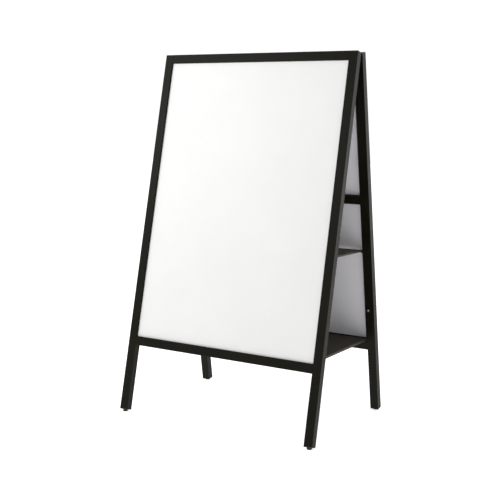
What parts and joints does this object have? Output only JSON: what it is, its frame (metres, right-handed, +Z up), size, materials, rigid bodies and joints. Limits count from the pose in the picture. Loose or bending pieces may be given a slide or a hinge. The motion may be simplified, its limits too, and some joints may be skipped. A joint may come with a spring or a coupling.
{
  "type": "poster stand",
  "caption": "Folding A-frame poster stand with a white board in each dark tube frame, top hinges, two lift-up shelves between the frames and round feet.",
  "frame": {"origin": "on the floor, under the middle of the open stand", "axes": "+Z up, the front board faces -Y, +X to the right as seen from the front"},
  "size_m": [0.765, 0.561, 1.2728],
  "materials": {
    "frame_paint": "satin brown-black powder coat",
    "white_board": "smooth white satin face",
    "ledge_metal": "dark anodised",
    "black_plastic": "moulded black",
    "rubber": "matt black",
    "shelf_board": "dark brown stained board",
    "zinc_steel": "bright zinc"
  },
  "bodies": {
    "front_frame": {"front_left_stile": "frame_paint", "front_right_stile": "frame_paint", "front_top_rail": "frame_paint", "front_bottom_rail": "frame_paint", "front_mid_rail": "frame_paint", "front_board": "white_board", "front_board_ledges": "ledge_metal", "front_end_caps": "black_plastic", "front_feet": "black_plastic", "front_foot_soles": "rubber", "front_hinge_leaves": "zinc_steel", "front_hinge_screws": "zinc_steel", "front_shelf_bushes": "black_plastic", "lower_shelf_angle": "frame_paint", "hinge_pins": "zinc_steel"},
    "rear_frame": {"rear_left_stile": "frame_paint", "rear_right_stile": "frame_paint", "rear_top_rail": "frame_paint", "rear_bottom_rail": "frame_paint", "rear_mid_rail": "frame_paint", "rear_board": "white_board", "rear_board_ledges": "ledge_metal", "rear_end_caps": "black_plastic", "rear_feet": "black_plastic", "rear_foot_soles": "rubber", "rear_hinge_leaves": "zinc_steel", "rear_hinge_screws": "zinc_steel", "rear_shelf_bushes": "black_plastic", "mid_shelf_pegs": "black_plastic", "buffers": "rubber", "buffer_screws": "zinc_steel"},
    "mid_shelf_board": {"mid_shelf": "shelf_board", "mid_shelf_pins": "zinc_steel"},
    "lower_shelf_board": {"lower_shelf": "shelf_board", "lower_shelf_pins": "zinc_steel"}
  },
  "joints": [
    {"name": "frame_spread", "type": "hinge", "parent": "front_frame", "child": "rear_frame", "pos_m": [0, 0, 1.26086], "axis": [1, 0, 0], "range_deg": [0, 12]},
    {"name": "mid_shelf_lift", "type": "hinge", "parent": "front_frame", "child": "mid_shelf_board", "pos_m": [0, -0.14308, 0.59487], "axis": [1, 0, 0], "range_deg": [0, 72]},
    {"name": "lower_shelf_lift", "type": "hinge", "parent": "rear_frame", "child": "lower_shelf_board", "pos_m": [0, 0.20803, 0.26687], "axis": [-1, 0, 0], "range_deg": [0, 42]}
  ]
}
